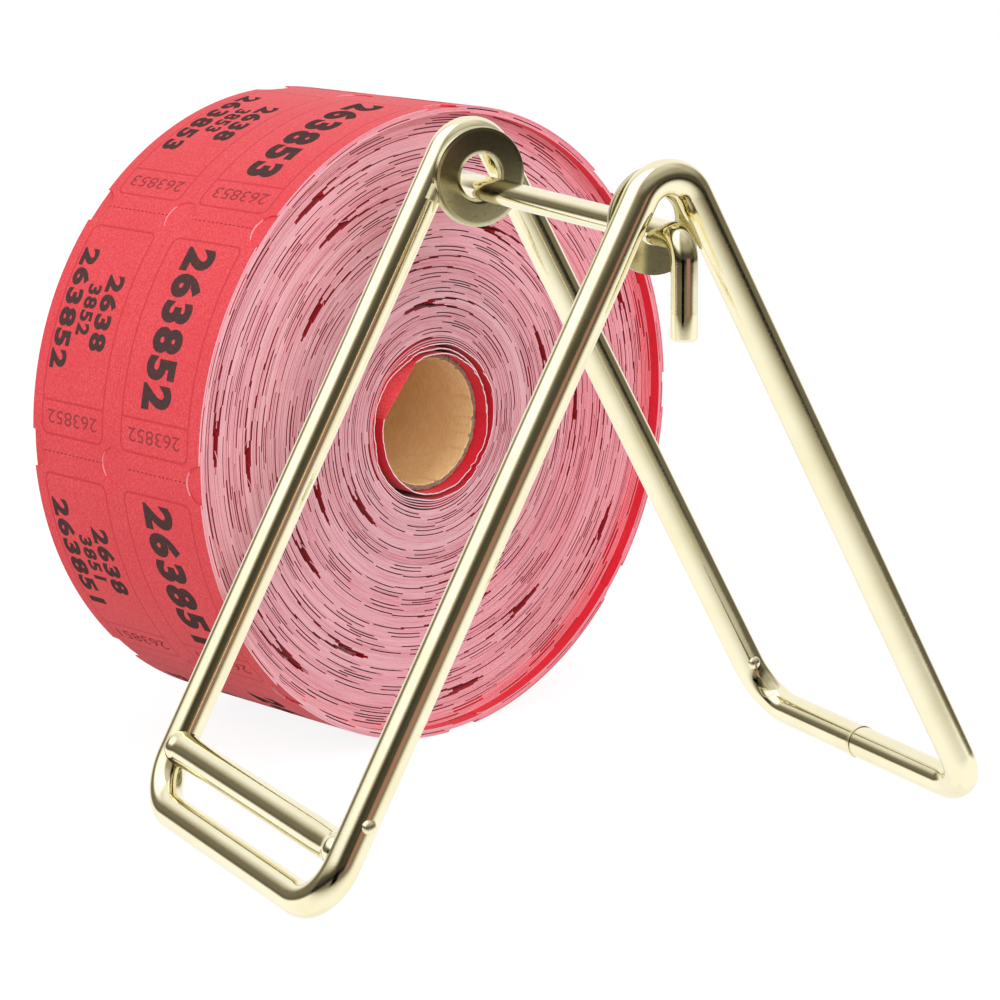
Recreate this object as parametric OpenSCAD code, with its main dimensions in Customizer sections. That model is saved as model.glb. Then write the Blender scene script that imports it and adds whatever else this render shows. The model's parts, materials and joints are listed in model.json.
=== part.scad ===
// Counter ticket roll stand: a bent wire stand with a loose axle rod, and a roll of
// tickets standing on its rim behind it. Lengths are in millimetres and Z is up.
// The front of the stand, where the tickets leave, is at low X. The hook of the axle
// rod is at low Y, on the near side frame. The floor is at Z = 0.

/* [Wire stand] */
// Diameter of the stand's wire and of the tear bar
wire_d = 6.35; // [5:0.05:8]
// Distance between the centre lines of the front and rear base bars
base_spread = 136; // [110:1:170]
// Distance between the middle planes of the two side frames
side_spread = 72.5; // [66:0.5:100]
// Lean of every leg from the vertical, in degrees
leg_lean = 28; // [24:0.5:34]
// Centre line radius of the bend at the top of each side frame
apex_bend_r = 6; // [5:0.5:9]
// Centre line radius of the four bends between the legs and the base bars
corner_bend_r = 9.5; // [7:0.5:10]
// How far up the front legs the tear bar is welded, from the base bar's centre line
tear_bar_up = 11; // [10.5:0.5:20]
// Distance of the butt weld from the middle of the rear base bar, towards the roll
butt_weld_off = 1.5; // [0:0.5:15]

/* [Washers] */
// Outer diameter of the two washers that carry the axle rod
washer_od = 19.05; // [17:0.05:22]
// Hole diameter of the washers
washer_hole_d = 8.7; // [7.5:0.1:10]
// Thickness of the washers
washer_t = 1.65; // [1.2:0.05:2.5]
// Height of the washers' centres above the floor
washer_z = 116.4; // [112:0.1:118]

/* [Axle rod] */
// Diameter of the axle rod
axle_d = 4.76; // [4:0.01:6]
// Distance of the hook's leg outside the near side frame's middle plane
hook_off = 5.8; // [5:0.1:12]
// Length of the hook's leg below the rod's centre line
hook_drop = 17.7; // [12:0.1:30]
// Centre line radius of the bend into the hook
hook_bend_r = 4; // [3:0.5:6]
// How far the rod's plain end stands past the far side frame's middle plane
axle_past = 3.2; // [1:0.1:8]

/* [Ticket roll] */
// Outer diameter of the ticket roll
roll_d = 127; // [100:1:150]
// Width of the ticket strip
strip_w = 50.8; // [25.4:0.1:51]
// Length of one ticket along the strip
ticket_len = 50.8; // [40:0.1:60]
// Bore of the cardboard core
core_bore_d = 25.4; // [20:0.1:40]
// Wall of the cardboard core
core_wall = 1.2; // [0.8:0.1:2.5]
// Bore of the tightly wound pack, round the loose inner turns
pack_bore_d = 35.2; // [34:0.1:60]
// Outer diameter of the tightly wound pack, under the proud outer turns
pack_d = 120; // [92:1:142]
// How far the outer turns stand proud of the pack's face
proud_w = 3.5; // [0:0.5:5]
// How far the core sits back from the pack's face
core_recess = 2.2; // [0:0.1:6]
// Diameter of the round cuts at each ticket's end
die_cut_d = 7.5; // [5:0.5:10]
// Angle of one row of round cuts, counterclockwise from the roll's right side
ticket_phase = 136; // [0:1:359]
// Turn of the roll about the vertical, away from square to the stand
roll_yaw = 16; // [10:1:20]
// Distance of the roll's face centre behind the far side frame's middle plane
roll_behind = 20.4; // [19.5:0.1:60]
// Offset of the roll's face centre towards the rear legs
roll_side = 5; // [0:0.5:10]

/* [Hidden] */
$fn = 64;

gold = [0.84, 0.79, 0.58];
pale_gold = [0.90, 0.86, 0.66];
kraft = [0.68, 0.54, 0.36];
paper_edge = [0.88, 0.55, 0.60];
ticket_red = [0.90, 0.22, 0.26];

wire_r = wire_d / 2;
side_half = side_spread / 2;
base_half = base_spread / 2;
leg_len = base_half / sin(leg_lean);
apex_z = wire_r + base_half / tan(leg_lean);
apex_turn = 180 - 2 * leg_lean;
apex_tangent = apex_bend_r * tan(apex_turn / 2);
apex_lap = 0.2;
apex_swell = 0.02;
leg_top = leg_len - apex_tangent + apex_lap;
apex_bend_z = apex_z - apex_bend_r / sin(leg_lean);
bar_half = side_half - corner_bend_r;

weld_reach = 0.8;
butt_weld_w = 0.8;
butt_weld_proud = 0.15;
butt_weld_ground = 0.3;
washer_weld_r = 1.3;
washer_weld_len = 3;
washer_weld_drop = 2.6;
washer_y = side_half - wire_r - washer_t;
nib_r = 1.4;
nib_sink = 0.5;
front_nib_up = 17;
rear_nib_past_bend = 0.8;

axle_r = axle_d / 2;
axle_rest_gap = 0.05;
axle_z = washer_z - washer_hole_d / 2 + axle_r + axle_rest_gap;
hook_y = -side_half - hook_off;
axle_far_y = side_half + axle_past;
end_round = 0.5;

roll_r = roll_d / 2;
strip_t = 0.3;
turn_t = 0.3;
outer_turn_count = 4;
outer_steps = 72;
loose_t = 0.22;
loose_turn_count = 5.25;
loose_steps = 40;
loose_proud = 1.2;
core_r = core_bore_d / 2 + core_wall;
pack_face = -proud_w;

// The strip is torn off on the last row of round cuts before strip_end_max
strip_gap_deg = 4;
strip_end_max = 330;
cut_turn = ticket_len / roll_r * 180 / PI;
last_cut = floor((strip_end_max - ticket_phase) / cut_turn);
strip_end_deg = ticket_phase + last_cut * cut_turn;
first_cut = ceil((strip_end_deg + strip_gap_deg - 360 - ticket_phase) / cut_turn);

// The whole object's box, from its own sizes, sets the origin at its bottom centre
roll_y = side_half + roll_behind;
strip_reach = strip_w * cos(roll_yaw) + roll_r * sin(roll_yaw);
pack_reach = (strip_w + proud_w) * cos(roll_yaw) + pack_d / 2 * sin(roll_yaw);
low_y = hook_y - axle_r;
high_y = roll_y + max(strip_reach, pack_reach);
shift_y = -(low_y + high_y) / 2;

// A straight stretch of round wire along X, centred on x
module wire_x(half_len, d) {
    translate([-half_len, 0, 0]) rotate([0, 90, 0]) cylinder(h = 2 * half_len, d = d);
}

// A bend of round wire in the XY plane, from start through turn degrees
module wire_bend(r, turn, start, d) {
    rotate([0, 0, start]) rotate_extrude(angle = turn) translate([r, 0]) circle(d = d);
}

// A straight leg along Y from low to high at one side of a panel
module panel_leg(low, high, grow = 0) {
    translate([side_half, low, 0]) rotate([-90, 0, 0])
        cylinder(h = high - low, r = wire_r + grow);
}

// Base bar, two corner bends and two legs, in the plane that the legs share
module wire_panel() {
    wire_x(bar_half, wire_d);
    for (side = [0, 1]) mirror([side, 0, 0]) {
        translate([bar_half, corner_bend_r, 0])
            wire_bend(corner_bend_r, 90, -90, wire_d);
        panel_leg(corner_bend_r, leg_top);
    }
}

// Places children from the panel's own plane onto the front legs
module on_front_legs() {
    translate([-base_half, 0, wire_r]) rotate([0, leg_lean, 0]) rotate([90, 0, 90])
        children();
}

// Moves the stand's own middle to its place in the object's frame
module placed() {
    translate([0, shift_y, 0]) children();
}

// One bent loop of wire: two upside down V side frames and two base bars. The wire is
// a hair thicker round the tight bend at each apex, where the legs run into it.
module frame_wire() {
    color(gold) placed() {
        on_front_legs() wire_panel();
        mirror([1, 0, 0]) on_front_legs() wire_panel();
        for (side = [-1, 1]) translate([0, side * side_half, apex_bend_z])
            rotate([90, 0, 0])
                wire_bend(apex_bend_r, apex_turn, leg_lean, wire_d + apex_swell);
    }
}

// The raised ring where the two ends of the wire are butt welded in the rear bar,
// ground off underneath so that the bar stands flat on the counter
module butt_weld() {
    color(pale_gold) placed() translate([base_half, butt_weld_off, wire_r])
        rotate([90, 0, 0]) difference() {
            cylinder(h = butt_weld_w, d = wire_d + 2 * butt_weld_proud, center = true);
            cylinder(h = 2 * butt_weld_w, d = wire_d, center = true);
            translate([0, butt_weld_ground - 1.5 * wire_r, 0])
                cube([wire_d, wire_r, wire_d], center = true);
        }
}

// The bar that tickets are torn against, coped to the round of both front legs
module tear_bar() {
    color(gold) placed() on_front_legs() translate([0, tear_bar_up, 0]) difference() {
        wire_x(side_half, wire_d);
        for (side = [0, 1]) mirror([side, 0, 0]) panel_leg(-wire_d, wire_d);
    }
}

// Weld metal in the corner between the tear bar and each front leg
module tear_bar_welds() {
    color(pale_gold) placed() on_front_legs() translate([0, tear_bar_up, 0])
        for (side = [0, 1]) mirror([side, 0, 0]) difference() {
            intersection() {
                panel_leg(-wire_d, wire_d, weld_reach);
                translate([bar_half, 0, 0]) rotate([0, 90, 0])
                    cylinder(h = corner_bend_r, r = wire_r + weld_reach);
            }
            panel_leg(-2 * wire_d, 2 * wire_d);
            translate([bar_half / 2, 0, 0]) rotate([0, 90, 0])
                cylinder(h = side_half, r = wire_r);
        }
}

// A flat washer against the inside of the side frame at high Y
module washer(hole_d = washer_hole_d) {
    translate([0, washer_y, washer_z]) rotate([-90, 0, 0]) difference() {
        cylinder(h = washer_t, d = washer_od);
        if (hole_d > 0) translate([0, 0, -washer_t])
            cylinder(h = 3 * washer_t, d = hole_d);
    }
}

module near_washer() {
    color(gold) placed() mirror([0, 1, 0]) washer();
}

module far_washer() {
    color(gold) placed() washer();
}

// A weld bead where the washer's rim crosses each leg, on both side frames
module washer_welds() {
    bead_x = sqrt(pow(washer_od / 2, 2) - pow(washer_weld_drop, 2));
    color(pale_gold) placed()
        for (side = [0, 1], end = [0, 1]) mirror([0, side, 0]) mirror([end, 0, 0])
            difference() {
                translate([-bead_x, washer_y + washer_t, washer_z - washer_weld_drop])
                    rotate([0, leg_lean, 0])
                    cylinder(h = washer_weld_len, r = washer_weld_r, center = true);
                on_front_legs() panel_leg(leg_len / 2, leg_top);
                washer(0);
            }
}

// Small marks left where the stand hung for plating: a nib on the near front leg
// and a bead just above the corner bend of the far rear leg
module plating_marks() {
    rear_nib_up = corner_bend_r + rear_nib_past_bend;
    color(pale_gold) placed() {
        mirror([0, 1, 0]) on_front_legs() plating_nib(front_nib_up, 1);
        mirror([1, 0, 0]) on_front_legs() plating_nib(rear_nib_up, -1);
    }
}

// One nib sunk into a leg, on the leg's outer side (1) or inner side (-1)
module plating_nib(up, out) {
    difference() {
        translate([side_half + out * (wire_r - nib_sink), up, 0]) sphere(r = nib_r);
        panel_leg(up - 2 * nib_r, up + 2 * nib_r);
    }
}

// A plain rod end with a small chamfer, pointing up from the end of a rod
module rod_tip() {
    cylinder(h = end_round, r1 = axle_r, r2 = axle_r - end_round);
}

// The loose rod that carries the roll: straight through both washers, with one end
// bent down as a hook to pull it by
module axle_rod() {
    straight = axle_far_y - hook_y - hook_bend_r - end_round;
    color(gold) placed() translate([0, 0, axle_z]) {
        translate([0, hook_y + hook_bend_r, 0]) rotate([-90, 0, 0]) {
            cylinder(h = straight, r = axle_r);
            translate([0, 0, straight]) rod_tip();
        }
        translate([0, hook_y + hook_bend_r, -hook_bend_r]) rotate([90, 0, -90])
            wire_bend(hook_bend_r, 90, 0, axle_d);
        translate([0, hook_y, -hook_bend_r]) mirror([0, 0, 1]) {
            cylinder(h = hook_drop - hook_bend_r - end_round, r = axle_r);
            translate([0, 0, hook_drop - hook_bend_r - end_round]) rod_tip();
        }
    }
}

// Places children from the roll's own axis, with its proud front rim at Z = 0 and
// the roll behind it, onto the floor behind the stand
module as_roll() {
    placed() translate([roll_side, roll_y, roll_r]) rotate([0, 0, roll_yaw])
        rotate([90, 0, 0]) children();
}

// A tube of paper from face down to face - strip_w
module paper_tube(r_out, r_in, face) {
    translate([0, 0, face - strip_w]) difference() {
        cylinder(h = strip_w, r = r_out);
        translate([0, 0, -1]) cylinder(h = strip_w + 2, r = r_in);
    }
}

// Radius of a wound strip's inner side after some steps, growing evenly
function wound_r(r_start, grow, steps, i) = r_start + grow * i / steps;

function wound_point(r, steps, i) = [r * cos(360 * i / steps), r * sin(360 * i / steps)];

// Outline of a strip of thickness t wound for a number of turns from r_start
function wound_outline(r_start, grow, steps, turns, t) =
    let (last = round(turns * steps))
    concat(
        [for (i = [0:last]) wound_point(wound_r(r_start, grow, steps, i), steps, i)],
        [for (i = [last:-1:0])
            wound_point(wound_r(r_start, grow, steps, i) + t, steps, i)]);

// Least gap between one turn and the next, measured on the outline's points
function least_gap(r_start, grow, steps, turns, t) =
    let (last = round((turns - 1) * steps))
    min([for (i = [0:last]) norm(
        wound_point(wound_r(r_start, grow, steps, i + steps), steps, i)
        - wound_point(wound_r(r_start, grow, steps, i) + t, steps, i))]);

loose_grow = (pack_bore_d / 2 - loose_t - core_r) / loose_turn_count;
outer_grow = (roll_r - strip_t - turn_t - pack_d / 2) / outer_turn_count;
echo(least_gap_of_loose_turns =
    least_gap(core_r, loose_grow, loose_steps, loose_turn_count, loose_t));
echo(least_gap_of_outer_turns =
    least_gap(pack_d / 2, outer_grow, outer_steps, outer_turn_count, turn_t));

// The cardboard tube that the strip is wound on
module roll_core() {
    color(kraft) as_roll()
        paper_tube(core_r, core_bore_d / 2, pack_face - core_recess);
}

// The loose first turns of the strip, one unbroken spiral from core to pack
module inner_turns() {
    color(ticket_red) as_roll() translate([0, 0, pack_face + loose_proud - strip_w])
        linear_extrude(height = strip_w)
            polygon(wound_outline(core_r, loose_grow, loose_steps,
                loose_turn_count, loose_t));
}

// The tightly wound middle of the strip, about 180 turns with no air between them
module ticket_pack() {
    color(paper_edge) as_roll() paper_tube(pack_d / 2, pack_bore_d / 2, pack_face);
}

// The outer turns of the strip, one unbroken spiral that stands proud of the pack
module outer_turns() {
    color(paper_edge) as_roll() translate([0, 0, -strip_w])
        linear_extrude(height = strip_w)
            polygon(wound_outline(pack_d / 2, outer_grow, outer_steps,
                outer_turn_count, turn_t));
}

// The last turn of the strip, with its free end and the round cuts between tickets
module ticket_strip() {
    color(ticket_red) as_roll() difference() {
        paper_tube(roll_r, roll_r - strip_t, 0);
        rotate([0, 0, strip_end_deg]) translate([0, 0, -strip_w - 1])
            rotate_extrude(angle = strip_gap_deg) translate([roll_r - 2, 0])
                square([4, strip_w + 2]);
        for (i = [first_cut:last_cut], across = [0, 0.5, 1])
            rotate([0, 0, ticket_phase + i * cut_turn]) ticket_cut(across * strip_w);
    }
}

// One round cut through the strip, a distance behind its front edge
module ticket_cut(behind) {
    translate([roll_r - 2, 0, -behind]) rotate([0, 90, 0])
        cylinder(h = 4, d = die_cut_d);
}

frame_wire();
butt_weld();
tear_bar();
tear_bar_welds();
near_washer();
far_washer();
washer_welds();
plating_marks();
axle_rod();
roll_core();
inner_turns();
ticket_pack();
outer_turns();
ticket_strip();
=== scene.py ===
"""Looks, studio and camera for the counter ticket roll stand. Lengths are in metres."""
import json
import logging
import math
from dataclasses import dataclass
from enum import Enum
from typing import Callable, Sequence

import bpy
import numpy as np
from mathutils import Matrix, Vector


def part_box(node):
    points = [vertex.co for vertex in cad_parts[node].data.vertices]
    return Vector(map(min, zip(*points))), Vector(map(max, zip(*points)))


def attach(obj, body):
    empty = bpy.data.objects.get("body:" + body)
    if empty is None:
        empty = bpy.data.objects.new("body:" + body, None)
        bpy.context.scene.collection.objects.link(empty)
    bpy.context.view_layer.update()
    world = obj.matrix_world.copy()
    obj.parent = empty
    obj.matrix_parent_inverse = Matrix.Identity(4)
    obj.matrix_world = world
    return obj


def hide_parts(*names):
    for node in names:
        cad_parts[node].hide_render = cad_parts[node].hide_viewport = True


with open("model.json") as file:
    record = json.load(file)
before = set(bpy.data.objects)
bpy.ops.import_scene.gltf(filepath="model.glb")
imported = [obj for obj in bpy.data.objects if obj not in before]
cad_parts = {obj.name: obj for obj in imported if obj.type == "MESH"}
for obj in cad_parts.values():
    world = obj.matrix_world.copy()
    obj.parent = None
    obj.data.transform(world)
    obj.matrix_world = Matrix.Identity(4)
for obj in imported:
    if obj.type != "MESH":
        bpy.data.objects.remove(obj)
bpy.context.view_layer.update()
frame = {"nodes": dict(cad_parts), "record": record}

MM = 0.001
SAME_SPOT = 1e-7
FULL_TURN = 2 * math.pi
LOG = logging.getLogger("ticket_stand")
Colour = tuple[float, float, float]
Points = np.ndarray


class Body(str, Enum):
    """The moving bodies that a piece can ride on."""

    STAND = "stand"
    AXLE = "axle"
    ROLL = "ticket_roll"


class Slot(str, Enum):
    """The names of the record's material slots."""

    WIRE = "plated_wire"
    WASHER = "plated_washer"
    CORE = "core_board"
    EDGES = "ticket_edges"
    FACE = "ticket_face"


# Mesh helpers
def pick_only(obj: bpy.types.Object) -> None:
    """Selects obj alone and makes it active."""
    bpy.ops.object.select_all(action="DESELECT")
    obj.select_set(True)
    bpy.context.view_layer.objects.active = obj


def read_points(obj: bpy.types.Object) -> Points:
    """Returns the mesh's vertices as an n by 3 array."""
    co = np.zeros(len(obj.data.vertices) * 3, np.float32)
    obj.data.vertices.foreach_get("co", co)
    return co.reshape(-1, 3).astype(float)


def write_points(obj: bpy.types.Object, points: Points) -> None:
    """Moves the mesh's vertices to points."""
    obj.data.vertices.foreach_set("co", points.astype(np.float32).ravel())
    obj.data.update()


def face_vectors(obj: bpy.types.Object, name: str) -> Points:
    """Returns the center or the normal of every face."""
    values = np.zeros(len(obj.data.polygons) * 3, np.float32)
    obj.data.polygons.foreach_get(name, values)
    return values.reshape(-1, 3)


def read_indices(obj: bpy.types.Object) -> Points:
    """Returns the material index of every face."""
    indices = np.zeros(len(obj.data.polygons), np.int32)
    obj.data.polygons.foreach_get("material_index", indices)
    return indices


def write_indices(obj: bpy.types.Object, indices: Points) -> None:
    """Sets the material index of every face."""
    obj.data.polygons.foreach_set("material_index", np.asarray(indices, np.int32))


def smooth(obj: bpy.types.Object, degrees: float) -> None:
    """Shades obj smooth, with creases where faces meet at more than degrees."""
    pick_only(obj)
    bpy.ops.object.shade_smooth_by_angle(angle=math.radians(degrees))


def clean_mesh(obj: bpy.types.Object, merge: float = SAME_SPOT) -> None:
    """Merges doubles and turns every face outwards.

    Args:
        obj: the mesh to clean.
        merge: distance under which two vertices become one.
    """
    pick_only(obj)
    bpy.ops.object.mode_set(mode="EDIT")
    bpy.ops.mesh.select_all(action="SELECT")
    bpy.ops.mesh.remove_doubles(threshold=merge)
    bpy.ops.mesh.dissolve_degenerate(threshold=merge)
    bpy.ops.mesh.normals_make_consistent(inside=False)
    bpy.ops.object.mode_set(mode="OBJECT")


def add_modifier(obj: bpy.types.Object, kind: str, **settings: object) -> None:
    """Adds one modifier with the given settings and applies it."""
    pick_only(obj)
    modifier = obj.modifiers.new(kind.lower(), kind)
    for key, value in settings.items():
        setattr(modifier, key, value)
    bpy.ops.object.modifier_apply(modifier=modifier.name)


def settle(obj: bpy.types.Object, offset: Vector) -> None:
    """Shifts the mesh by offset and leaves the object itself at the origin."""
    pick_only(obj)
    bpy.ops.transform.translate(value=offset)
    bpy.ops.object.transform_apply(location=True, rotation=True, scale=True)


def dress(
    obj: bpy.types.Object,
    body: Body,
    materials: Sequence[bpy.types.Material],
    replaces: Sequence[str] = (),
) -> bpy.types.Object:
    """Gives a finished piece its materials and its body, and hides the nodes that it
    stands for.

    Args:
        obj: the finished piece.
        body: the body it rides on.
        materials: one material for each material index that its faces use.
        replaces: the nodes that the piece stands for.

    Returns:
        The same object.
    """
    indices = read_indices(obj)
    obj.data.materials.clear()
    for material in materials:
        obj.data.materials.append(material)
    write_indices(obj, indices)
    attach(obj, body.value)
    if replaces:
        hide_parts(*replaces)
    LOG.info("%s: %d faces on %s", obj.name, len(obj.data.polygons), body.value)
    return obj


def dress_node(name: str, material: bpy.types.Material) -> None:
    """Gives a carried-over node its material."""
    obj = frame["nodes"][name]
    obj.data.materials.clear()
    obj.data.materials.append(material)
    LOG.info("%s: carried over", name)


class SweptWire:
    """Round wire drawn from one ring by extruding it and spinning it round bends."""

    def __init__(self, name: str, radius: float, start: Vector, along: Vector,
                 sides: int = 56) -> None:
        """Adds the first ring.

        Args:
            name: the piece's name.
            radius: the wire's radius.
            start: the ring's centre.
            along: the direction in which the wire sets off.
            sides: vertices in the ring.
        """
        turn = along.to_track_quat("Z", "Y").to_euler()
        bpy.ops.object.select_all(action="DESELECT")
        bpy.ops.mesh.primitive_circle_add(vertices=sides, radius=radius, location=start,
                                          rotation=turn)
        self.obj = bpy.context.object
        self.obj.name = self.obj.data.name = name
        self.heading = along.normalized()
        self.centre = start.copy()
        bpy.ops.object.transform_apply(location=True, rotation=True, scale=True)
        bpy.ops.object.mode_set(mode="EDIT")
        bpy.ops.mesh.select_all(action="SELECT")

    def straight(self, length: float, steps: int = 1) -> "SweptWire":
        """Extrudes the ring straight on by length, in steps."""
        for _ in range(steps):
            move = self.heading * (length / steps)
            bpy.ops.mesh.extrude_region_move(TRANSFORM_OT_translate={"value": move})
            self.centre += move
        return self

    def bend(self, radius: float, towards: Vector, angle: float,
             steps: int) -> "SweptWire":
        """Spins the ring round a bend.

        Args:
            radius: the bend's centre line radius.
            towards: the side of the wire on which the bend's centre lies.
            angle: how far the wire turns, in radians.
            steps: rings in the bend.

        Returns:
            The wire, for the next move.
        """
        towards = towards.normalized()
        pivot = self.centre + towards * radius
        axis = self.heading.cross(towards).normalized()
        bpy.ops.mesh.spin(steps=steps, angle=-angle, center=pivot, axis=axis)
        turn = Matrix.Rotation(angle, 3, axis)
        self.centre = pivot + turn @ (self.centre - pivot)
        self.heading = turn @ self.heading
        return self

    def widen(self, factor: float) -> "SweptWire":
        """Scales the last ring about its own middle."""
        bpy.ops.transform.resize(value=(factor,) * 3)
        return self

    def close_end(self) -> "SweptWire":
        """Fills the last ring."""
        bpy.ops.mesh.edge_face_add()
        return self

    def done(self) -> bpy.types.Object:
        """Returns to object mode and gives the finished object."""
        bpy.ops.object.mode_set(mode="OBJECT")
        return self.obj


def laid_grid(
    name: str,
    columns: int,
    rows: int,
    place: Callable[[Points, Points], Points],
    paint: Callable[[Points, Points], Points] | None = None,
) -> bpy.types.Object:
    """Adds a flat grid and lays each of its vertices on a wound or turned form.

    Args:
        name: the piece's name.
        columns: faces along the winding.
        rows: rows of vertices across it.
        place: gives the points for a column share from 0 to 1 and a row number.
        paint: gives each face's material for its share and the row that it starts at.

    Returns:
        The laid sheet, its doubles not yet merged.
    """
    bpy.ops.object.select_all(action="DESELECT")
    bpy.ops.mesh.primitive_grid_add(x_subdivisions=columns, y_subdivisions=rows - 1,
                                    size=2)
    obj = bpy.context.object
    obj.name = obj.data.name = name
    if paint is not None:
        middle = (face_vectors(obj, "center").astype(float) + 1) / 2
        first = np.floor(middle[:, 1] * (rows - 1)).astype(int)
        write_indices(obj, paint(middle[:, 0], first))
    share = (read_points(obj) + 1) / 2
    row = np.round(share[:, 1] * (rows - 1)).astype(int)
    write_points(obj, place(share[:, 0], row))
    return obj


def close_ends(obj: bpy.types.Object) -> None:
    """Merges a wound sheet's doubles and closes its two open ends."""
    pick_only(obj)
    bpy.ops.object.mode_set(mode="EDIT")
    bpy.ops.mesh.select_all(action="SELECT")
    bpy.ops.mesh.remove_doubles(threshold=SAME_SPOT)
    bpy.ops.mesh.select_all(action="DESELECT")
    bpy.ops.mesh.select_non_manifold()
    bpy.ops.mesh.edge_face_add()
    bpy.ops.mesh.select_all(action="SELECT")
    bpy.ops.mesh.normals_make_consistent(inside=False)
    bpy.ops.object.mode_set(mode="OBJECT")


# Materials
class Graph:
    """Adds and links the nodes of one material, or of the world."""

    def __init__(self, name: str, world: bool = False) -> None:
        """Starts an empty material, or an empty world."""
        blocks = bpy.data.worlds if world else bpy.data.materials
        self.material = blocks.new(name)
        self.material.use_nodes = True
        self.tree = self.material.node_tree
        self.tree.nodes.clear()

    def node(self, kind: str, inputs: dict | None = None, **settings: object):
        """Adds a node.

        Args:
            kind: Blender's name of the node type.
            inputs: socket name or number to a value or to another node's output.
            settings: the node's own properties.

        Returns:
            The new node.
        """
        made = self.tree.nodes.new(kind)
        for key, value in settings.items():
            setattr(made, key, value)
        for key, value in (inputs or {}).items():
            if isinstance(value, bpy.types.NodeSocket):
                self.tree.links.new(value, made.inputs[key])
            else:
                made.inputs[key].default_value = value
        return made

    def math(self, operation: str, *values: object):
        """Adds a Math node and returns its output."""
        made = self.node("ShaderNodeMath", dict(enumerate(values)), operation=operation)
        return made.outputs[0]

    def dot(self, vector: object, along: Sequence[float]):
        """Returns how far vector goes along a fixed direction."""
        made = self.node("ShaderNodeVectorMath", {0: vector, 1: tuple(along)},
                         operation="DOT_PRODUCT")
        return made.outputs["Value"]

    def ramp(self, value: object, low: float, high: float,
             to: tuple[float, float] = (0.0, 1.0)):
        """Maps value from low..high smoothly to to[0]..to[1] and returns the output."""
        made = self.node("ShaderNodeMapRange", {
            "Value": value, "From Min": low, "From Max": high,
            "To Min": to[0], "To Max": to[1]}, interpolation_type="SMOOTHSTEP")
        return made.outputs["Result"]

    def window(self, value: object, rise: tuple[float, float],
               fall: tuple[float, float]):
        """Returns 1 between the borders rise and fall, both soft, and 0 outside them."""
        return self.math("MULTIPLY", self.ramp(value, *rise),
                         self.ramp(value, *fall, (1.0, 0.0)))

    def mix(self, share: object, first: object, second: object):
        """Mixes two colours and returns the output."""
        values = [(*v, 1.0) if isinstance(v, tuple) else v for v in (first, second)]
        made = self.node("ShaderNodeMix", {"Factor": share}, data_type="RGBA")
        for socket, value in zip((made.inputs[6], made.inputs[7]), values):
            if isinstance(value, bpy.types.NodeSocket):
                self.tree.links.new(value, socket)
            else:
                socket.default_value = value
        return made.outputs[2]

    def noise(self, vector: object, scale: float, detail: float = 2.0,
              rough: float = 0.5):
        """Adds a noise texture and returns its value."""
        made = self.node("ShaderNodeTexNoise", {
            "Vector": vector, "Scale": scale, "Detail": detail, "Roughness": rough})
        return made.outputs["Fac"]

    def place(self):
        """Returns the Object coordinates."""
        return self.node("ShaderNodeTexCoord").outputs["Object"]

    def bump(self, height: object, distance: float, strength: float = 1.0,
             normal: object = None):
        """Adds a Bump node and returns its normal."""
        inputs = {"Height": height, "Distance": distance, "Strength": strength}
        if normal is not None:
            inputs["Normal"] = normal
        return self.node("ShaderNodeBump", inputs).outputs["Normal"]

    def finish(self, **sockets: object) -> bpy.types.Material:
        """Adds the Principled shader and the output.

        Args:
            sockets: the shader's socket names, with spaces as underscores.

        Returns:
            The finished material.
        """
        inputs = {key.replace("_", " "): value for key, value in sockets.items()}
        shader = self.node("ShaderNodeBsdfPrincipled", inputs)
        self.node("ShaderNodeOutputMaterial", {"Surface": shader.outputs[0]})
        return self.material


@dataclass(frozen=True)
class PlatedFinish:
    """Pale brass plating, from mirror bright on the wire to satin on a weld."""

    name: str
    light: Colour = (0.945, 0.88, 0.635)
    deep: Colour = (0.90, 0.825, 0.55)
    shine: tuple[float, float] = (0.07, 0.14)
    ripple: float = 0.00003
    grain: float = 0.0

    def build(self) -> bpy.types.Material:
        """Returns the plating's material."""
        g = Graph(self.name)
        at = g.place()
        tone = g.ramp(g.noise(at, 90.0, 3.0), 0.35, 0.75)
        colour = g.mix(tone, self.light, self.deep)
        wear = g.noise(at, 900.0, 4.0, 0.6)
        rough = g.ramp(wear, 0.3, 0.8, self.shine)
        waves = g.bump(g.noise(at, 140.0, 1.0), self.ripple, 0.6)
        specks = g.ramp(g.noise(at, 2600.0, 3.0), 0.55, 0.75)
        normal = g.bump(specks, 0.00001 + self.grain, 0.35, waves)
        return g.finish(Base_Color=colour, Metallic=1.0, Roughness=rough, Normal=normal)


@dataclass(frozen=True)
class WasherFinish:
    """Tumbled and plated steel, dulled and speckled on part of its face."""

    name: str = "washer_plating"
    light: Colour = (0.66, 0.61, 0.40)
    worn: Colour = (0.44, 0.40, 0.24)
    dark: Colour = (0.18, 0.16, 0.09)

    def build(self) -> bpy.types.Material:
        """Returns the washers' material."""
        g = Graph(self.name)
        at = g.place()
        brushed = g.node("ShaderNodeMapping", {
            "Vector": at, "Scale": (1.0, 1.0, 9.0)}).outputs[0]
        lines = g.noise(brushed, 800.0, 4.0, 0.65)
        specks = g.ramp(g.noise(at, 1500.0, 3.0), 0.62, 0.72)
        colour = g.mix(g.ramp(lines, 0.3, 0.8, (0.0, 0.6)), self.light, self.worn)
        colour = g.mix(g.math("MULTIPLY", specks, 0.4), colour, self.dark)
        rough = g.ramp(lines, 0.2, 0.8, (0.09, 0.22))
        normal = g.bump(lines, 0.00002, 0.35)
        return g.finish(Base_Color=colour, Metallic=1.0, Roughness=rough, Normal=normal)


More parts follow.
